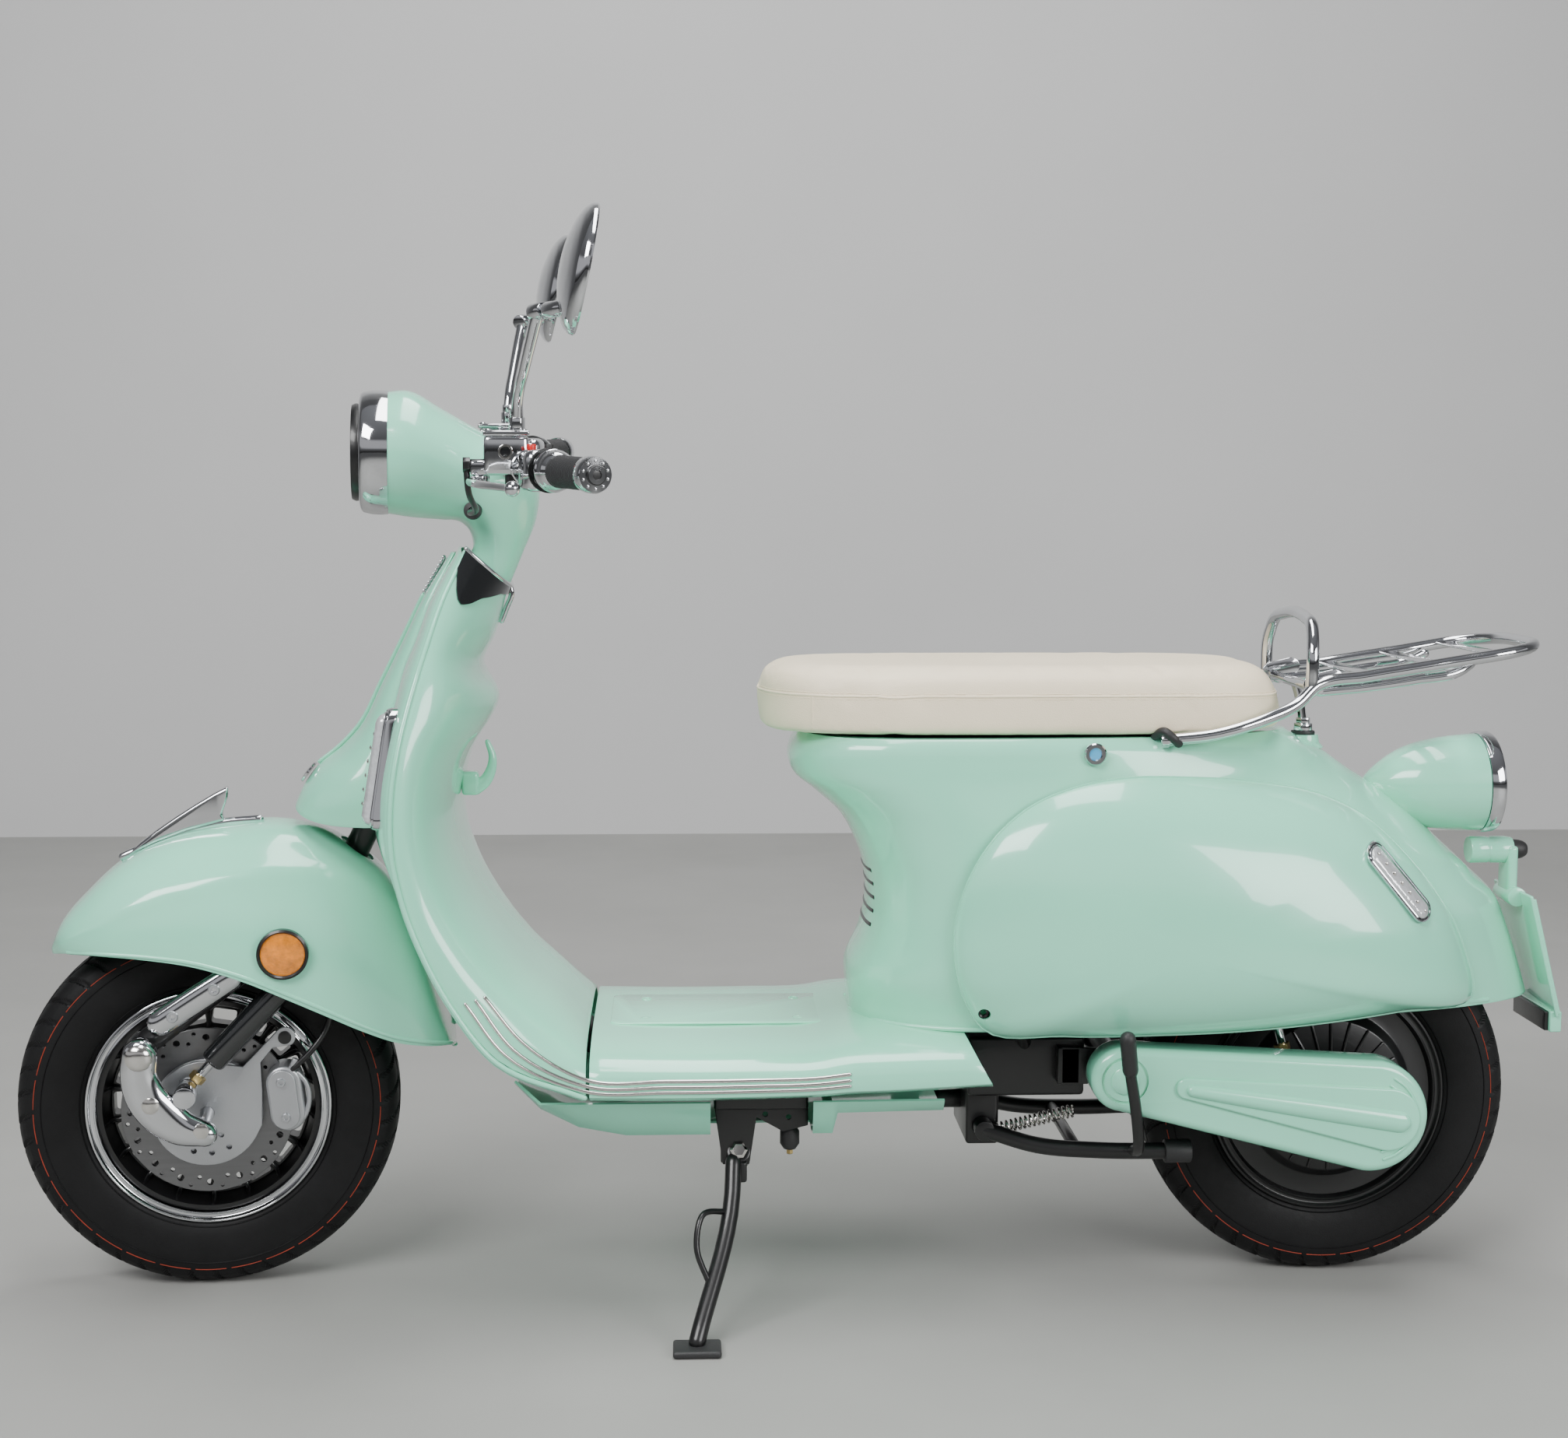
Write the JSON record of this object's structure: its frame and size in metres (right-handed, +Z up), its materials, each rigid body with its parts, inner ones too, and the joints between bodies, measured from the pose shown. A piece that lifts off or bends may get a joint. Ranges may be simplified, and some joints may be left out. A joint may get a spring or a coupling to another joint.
{
  "type": "moped scooter",
  "caption": "Retro step-through electric moped scooter in mint green with a leg shield, bulged rear cowls, a cream bench seat, a chrome rack and a single-sided front link suspension.",
  "frame": {"origin": "middle of the bounding box in plan, at the ground under the wheels", "axes": "+Z up, -X forward (the way it drives), -Y the rider's left side, the side that carries both the front link and the side stand"},
  "size_m": [1.7954, 0.7187, 1.2386],
  "materials": {
    "battery_grey": "matte",
    "black_paint": "satin",
    "black_plastic": "matte",
    "chrome": "mirror",
    "clear_lens": "gloss",
    "cream_vinyl": "satin",
    "disc_steel": "brushed",
    "grip_rubber": "matte",
    "mint_paint": "gloss",
    "red_lens": "gloss",
    "red_plastic": "gloss",
    "silver_alloy": "satin",
    "tyre_rubber": "matte"
  },
  "bodies": {
    "chassis": {"main_frame": "black_paint", "steering_bearing": "silver_alloy", "apron": "mint_paint", "inner_shield": "mint_paint", "horn_cover": "mint_paint", "floorboard": "mint_paint", "belly_pan": "mint_paint", "body_shell": "mint_paint", "cowl_left": "mint_paint", "cowl_right": "mint_paint", "storage_bucket": "black_plastic", "battery_pack": "battery_grey", "luggage_rack": "chrome", "tail_lamp": "mint_paint", "tail_lens": "red_lens", "plate_bracket": "mint_paint", "front_signal_left": "clear_lens", "front_signal_right": "clear_lens", "rear_signal_left": "clear_lens", "rear_signal_right": "clear_lens"},
    "steering": {"fork": "black_paint", "front_fender": "mint_paint", "headset_shell": "mint_paint", "headlight": "chrome", "handlebar": "black_paint", "left_grip": "grip_rubber", "switch_pod_left": "chrome", "switch_pod_right": "chrome", "master_cylinder_left": "chrome", "master_cylinder_right": "chrome"},
    "throttle": {"throttle_grip": "grip_rubber"},
    "lever_left": {"brake_lever_left": "chrome"},
    "lever_right": {"brake_lever_right": "chrome"},
    "stem_left": {"mirror_stem_left": "chrome"},
    "stem_right": {"mirror_stem_right": "chrome"},
    "mirror_left": {"mirror_head_left": "chrome"},
    "mirror_right": {"mirror_head_right": "chrome"},
    "red_button": {"button_red": "red_plastic"},
    "black_button": {"button_black": "black_plastic"},
    "key_barrel": {"ignition_lock": "chrome"},
    "front_link": {"trailing_link": "chrome", "caliper_bracket": "silver_alloy", "brake_caliper": "silver_alloy"},
    "front_wheel_group": {"front_wheel": "black_paint", "front_tyre": "tyre_rubber", "front_brake_disc": "disc_steel"},
    "front_damper_body": {"front_shock_body": "black_paint"},
    "front_damper_rod": {"front_shock_rod": "silver_alloy"},
    "rear_arm": {"swingarm": "black_paint", "swingarm_cover": "mint_paint", "motor_stator": "silver_alloy"},
    "rear_wheel_group": {"rear_wheel": "black_paint", "rear_tyre": "tyre_rubber"},
    "rear_damper_body": {"rear_shock_body": "black_paint"},
    "rear_damper_rod": {"rear_shock_rod": "silver_alloy"},
    "seat": {"seat_base": "black_plastic", "seat_cushion": "cream_vinyl"},
    "seat_latch": {"seat_lock": "chrome"},
    "side_prop": {"side_stand": "black_paint"},
    "centre_prop": {"centre_stand": "black_paint"}
  },
  "joints": [
    {"name": "steering_turn", "type": "hinge", "parent": "chassis", "child": "steering", "pos_m": [-0.337, 0, 0.86], "axis": [0.4384, 0, 0.8988], "range_deg": [-41.4, 28.6]},
    {"name": "throttle_twist", "type": "hinge", "parent": "steering", "child": "throttle", "pos_m": [-0.31565, 0.23846, 0.96573], "axis": [0.2462, 0.9681, 0.0468], "range_deg": [0, 70], "stiffness_Nm_per_rad": 0.15, "springref_deg": -17.19},
    {"name": "brake_lever_left_pull", "type": "hinge", "parent": "steering", "child": "lever_left", "pos_m": [-0.34757, -0.17173, 0.93372], "axis": [0.0025, -0.0489, 0.9988], "range_deg": [0, 9], "stiffness_Nm_per_rad": 2, "springref_deg": -17.19},
    {"name": "brake_lever_right_pull", "type": "hinge", "parent": "steering", "child": "lever_right", "pos_m": [-0.38083, 0.1582, 0.94995], "axis": [-0.0025, 0.0489, -0.9988], "range_deg": [0, 9], "stiffness_Nm_per_rad": 2, "springref_deg": -17.19},
    {"name": "mirror_stem_left_swivel", "type": "hinge", "parent": "steering", "child": "stem_left", "pos_m": [-0.30764, -0.17028, 0.98616], "axis": [0.0025, -0.0489, 0.9988], "range_deg": [-25, 25]},
    {"name": "mirror_stem_right_swivel", "type": "hinge", "parent": "steering", "child": "stem_right", "pos_m": [-0.3409, 0.15965, 1.00238], "axis": [0.0025, -0.0489, 0.9988], "range_deg": [-25, 25]},
    {"name": "mirror_head_left_tilt", "type": "hinge", "parent": "stem_left", "child": "mirror_left", "pos_m": [-0.27588, -0.24392, 1.11624], "axis": [-0.1002, 0.9938, 0.0489], "range_deg": [-12, 12]},
    {"name": "mirror_head_right_tilt", "type": "hinge", "parent": "stem_right", "child": "mirror_right", "pos_m": [-0.32317, 0.22514, 1.1393], "axis": [-0.1002, 0.9938, 0.0489], "range_deg": [-12, 12]},
    {"name": "red_button_press", "type": "slide", "parent": "steering", "child": "red_button", "axis": [-0.0025, 0.0489, -0.9988], "range_m": [0, 0.002], "stiffness_N_per_m": 300, "springref_m": -0.001},
    {"name": "black_button_press", "type": "slide", "parent": "steering", "child": "black_button", "axis": [-0.0025, 0.0489, -0.9988], "range_m": [0, 0.002], "stiffness_N_per_m": 300, "springref_m": -0.001},
    {"name": "ignition_turn", "type": "hinge", "parent": "chassis", "child": "key_barrel", "pos_m": [-0.346, 0, 0.684], "axis": [1, 0, 0], "range_deg": [0, 90]},
    {"name": "front_link_swing", "type": "hinge", "parent": "steering", "child": "front_link", "pos_m": [-0.74531, -0.01376, 0.30266], "axis": [0.1002, -0.9938, -0.0489], "range_deg": [0, 20], "stiffness_Nm_per_rad": 70, "springref_deg": -34.38},
    {"name": "front_wheel_spin", "type": "hinge", "parent": "front_link", "child": "front_wheel_group", "pos_m": [-0.68085, -0.00303, 0.21658], "axis": [-0.1002, 0.9938, 0.0489], "continuous": true},
    {"name": "front_damper_swing", "type": "hinge", "parent": "steering", "child": "front_damper_body", "pos_m": [-0.56586, -0.08108, 0.38203], "axis": [-0.1002, 0.9938, 0.0489], "range_deg": [0, 1.31]},
    {"name": "front_damper_stroke", "type": "slide", "parent": "front_damper_body", "child": "front_damper_rod", "axis": [-0.6859, -0.0334, -0.7269], "range_m": [-0.02402, 0]},
    {"name": "rear_arm_swing", "type": "hinge", "parent": "chassis", "child": "rear_arm", "pos_m": [0.361, 0, 0.267], "axis": [0, -1, 0], "range_deg": [0, 8], "stiffness_Nm_per_rad": 500, "springref_deg": -22.92},
    {"name": "rear_wheel_spin", "type": "hinge", "parent": "rear_arm", "child": "rear_wheel_group", "pos_m": [0.626, 0, 0.216], "axis": [0, 1, 0], "continuous": true},
    {"name": "rear_damper_swing", "type": "hinge", "parent": "chassis", "child": "rear_damper_body", "pos_m": [0.505, -0.095, 0.47], "axis": [0, 1, 0], "range_deg": [-1.93, 0]},
    {"name": "rear_damper_stroke", "type": "slide", "parent": "rear_damper_body", "child": "rear_damper_rod", "axis": [0.2676, 0, -0.9635], "range_m": [-0.02778, 0]},
    {"name": "seat_open", "type": "hinge", "parent": "chassis", "child": "seat", "pos_m": [-0.018, 0, 0.652], "axis": [0, -1, 0], "range_deg": [0, 75]},
    {"name": "seat_lock_turn", "type": "hinge", "parent": "chassis", "child": "seat_latch", "pos_m": [0.325, 0, 0.632], "axis": [0, -1, 0], "range_deg": [0, 90]},
    {"name": "side_stand_swing", "type": "hinge", "parent": "chassis", "child": "side_prop", "pos_m": [-0.07, -0.126, 0.178], "axis": [0, -0.866, 0.5], "range_deg": [0, 95]},
    {"name": "centre_stand_swing", "type": "hinge", "parent": "chassis", "child": "centre_prop", "pos_m": [0.215, 0, 0.188], "axis": [0, 1, 0], "range_deg": [0, 80], "stiffness_Nm_per_rad": 5, "springref_deg": -68.75}
  ],
  "couplings": [
    {"joint": "front_damper_swing", "follows": "front_link_swing", "ratio": 0.04034},
    {"joint": "front_damper_stroke", "follows": "front_link_swing", "m_per_rad": -0.067379},
    {"joint": "rear_damper_swing", "follows": "rear_arm_swing", "ratio": -0.20327},
    {"joint": "rear_damper_stroke", "follows": "rear_arm_swing", "m_per_rad": -0.19535}
  ]
}
